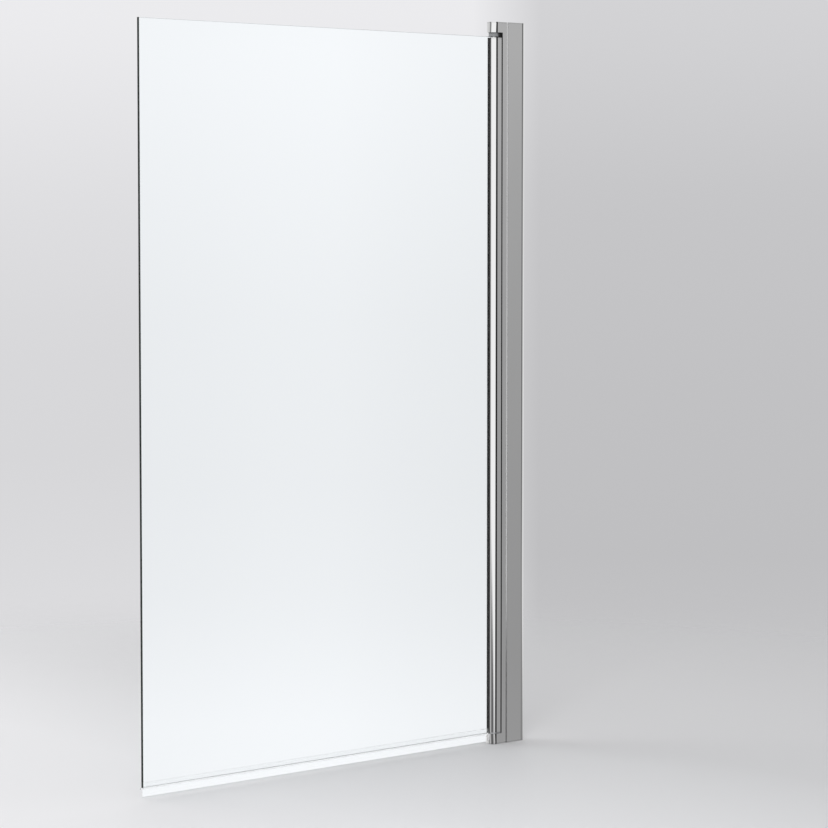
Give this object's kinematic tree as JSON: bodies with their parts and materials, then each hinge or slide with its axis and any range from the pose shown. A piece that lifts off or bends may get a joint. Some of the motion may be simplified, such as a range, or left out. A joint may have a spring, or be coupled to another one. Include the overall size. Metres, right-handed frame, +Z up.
{
  "type": "pivoting bath screen",
  "caption": "Frameless glass bath screen that swings out and rises on a cam hinge, with a polished profile that fastens to the wall.",
  "frame": {"origin": "centre of the channel's back face, on the wall, at mid height and in the plane of the closed pane", "axes": "+X into the wall, +Z up, -Y towards the room, the side that the pane opens to; the closed pane reaches along -X"},
  "size_m": [0.892, 0.0329, 1.4],
  "materials": {
    "polished_profile": "bright polished, chrome look",
    "chromed_caps": "bright chrome",
    "steel": "plain stainless",
    "grey_nylon": "moulded, satin",
    "black_rubber": "extruded, satin",
    "clear_glass": "clear toughened, ground edges",
    "clear_vinyl": "clear, flexible"
  },
  "bodies": {
    "wall_side": {"wall_channel": "polished_profile", "hinge_post": "polished_profile", "top_end_cap": "chromed_caps", "bottom_end_cap": "chromed_caps", "post_side_screws": "steel", "side_screw_covers": "chromed_caps", "top_knuckle_insert": "grey_nylon", "bottom_knuckle_insert": "grey_nylon", "knuckle_screws": "steel", "socket_strip": "black_rubber", "bottom_spindle": "steel", "fixed_cam": "grey_nylon"},
    "lift_sleeve": {"rising_sleeve": "grey_nylon"},
    "screen": {"pane": "clear_glass", "barrel": "polished_profile", "front_gasket": "black_rubber", "back_gasket": "black_rubber", "setting_blocks": "black_rubber", "top_barrel_plate": "chromed_caps", "top_plate_screws": "steel", "bottom_barrel_plate": "steel", "bottom_plate_screws": "steel", "top_pivot_pin": "steel", "moving_cam": "grey_nylon", "bottom_seal": "clear_vinyl"}
  },
  "joints": [
    {"name": "screen_lift", "type": "slide", "parent": "wall_side", "child": "lift_sleeve", "axis": [0, 0, 1], "range_m": [0, 0.0072]},
    {"name": "screen_swing", "type": "hinge", "parent": "lift_sleeve", "child": "screen", "pos_m": [-0.072, 0, 0], "axis": [0, 0, 1], "range_deg": [0, 90]}
  ],
  "couplings": [
    {"joint": "screen_lift", "follows": "screen_swing", "m_per_rad": 0.0045}
  ]
}
